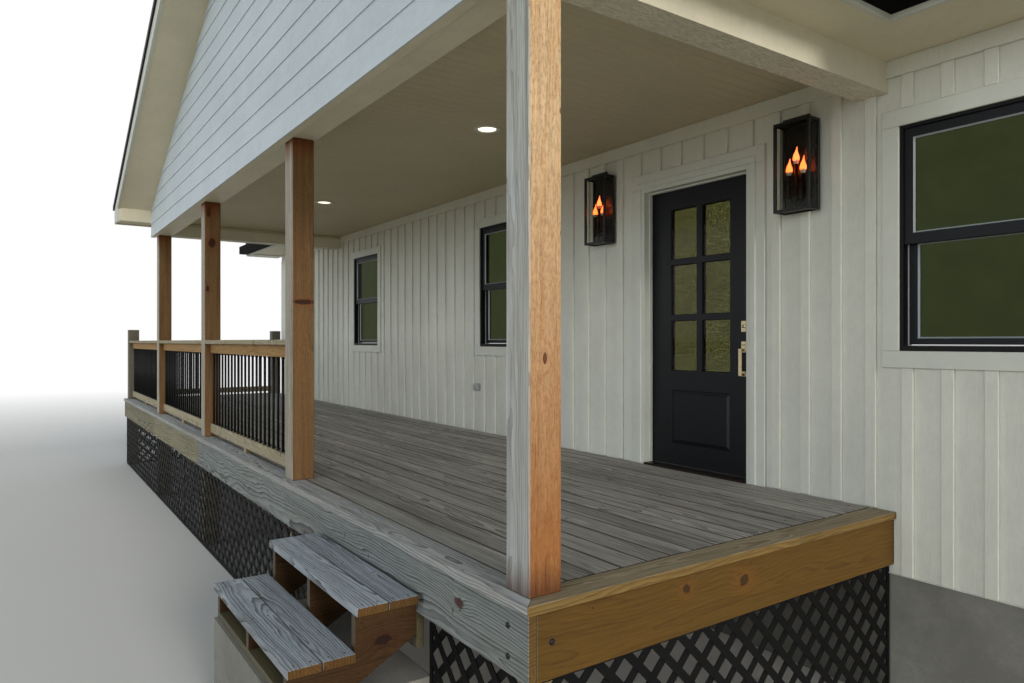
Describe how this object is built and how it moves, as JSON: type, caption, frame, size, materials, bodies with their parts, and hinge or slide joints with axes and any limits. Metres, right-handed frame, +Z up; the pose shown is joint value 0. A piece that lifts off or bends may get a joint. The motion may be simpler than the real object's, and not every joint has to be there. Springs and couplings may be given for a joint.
{
  "type": "front porch with gable roof, deck, steps, railing and house wall with entry door",
  "caption": "Covered front porch: boarded deck on lattice skirting, square posts under a gable roof, railing, open steps, and the house wall with windows, lanterns and a hinged entry door.",
  "frame": {"origin": "centre of the whole porch's footprint box, on the lowest ground level", "axes": "+Z up, +Y from the street towards the house wall, +X along the wall to the viewer's right"},
  "size_m": [12.42, 3.249, 5.594],
  "materials": {
    "deck_wood": "weathered pressure-treated pine with open grain",
    "fascia_wood": "treated pine, knotty",
    "frame_wood": "treated pine, rough",
    "post_wood": "sawn cedar with grain streaks and knots",
    "rail_wood": "pale treated pine",
    "step_wood": "weathered treated pine",
    "black_metal": "satin black",
    "lattice_black": "matt black",
    "concrete": "plain concrete",
    "wall_paint": "painted fibre-cement board, embossed grain",
    "siding_paint": "painted lap siding",
    "trim_paint": "painted trim boards",
    "ceiling_paint": "painted boards",
    "shingle": "granule-faced asphalt shingles",
    "door_paint": "satin charcoal",
    "brass": "satin brass",
    "door_glass": "textured glass",
    "window_glass": "clear glass, dark room behind",
    "lantern_black": "dark bronze-black"
  },
  "bodies": {
    "porch": {"deck_boards": "deck_wood", "deck_border": "deck_wood", "deck_fascia": "fascia_wood", "deck_frame": "frame_wood", "deck_piers": "frame_wood", "lattice_front_1": "lattice_black", "lattice_front_2": "lattice_black", "lattice_front_3": "lattice_black", "lattice_left": "lattice_black", "lattice_right": "lattice_black", "step_stringers": "step_wood", "step_tread_lower": "step_wood", "step_tread_upper": "step_wood", "step_plates": "step_wood", "step_footing": "concrete", "post_1": "post_wood", "post_2": "post_wood", "post_3": "post_wood", "post_4": "post_wood", "newel_corner": "rail_wood", "newel_wall": "rail_wood", "rail_front_1": "rail_wood", "rail_front_2": "rail_wood", "rail_front_3": "rail_wood", "rail_left": "rail_wood", "beam_front": "trim_paint", "beam_left": "trim_paint", "beam_right": "trim_paint", "ceiling": "ceiling_paint", "soffits": "ceiling_paint", "gable_wall": "siding_paint", "house_gable": "siding_paint", "roof_left": "shingle", "roof_right": "shingle", "rake_boards": "trim_paint", "eave_fascias": "trim_paint", "house_roof_left": "shingle", "house_roof_right": "shingle", "house_rakes": "trim_paint", "gutters": "black_metal", "wall_left": "wall_paint", "wall_over_door": "wall_paint", "wall_right": "wall_paint", "foundation_wall": "concrete", "door_frame": "trim_paint", "window_frames": "black_metal", "window_glass": "window_glass", "casings": "trim_paint", "wall_lanterns": "lantern_black"},
    "entry_door": {"door": "door_paint", "door_glass": "door_glass", "door_handle": "brass", "door_hinges": "brass"}
  },
  "joints": [
    {"name": "entry_door_hinge", "type": "hinge", "parent": "porch", "child": "entry_door", "pos_m": [3.1695, 1.5705, 2.08], "axis": [0, 0, 1], "range_deg": [0, 100]}
  ]
}
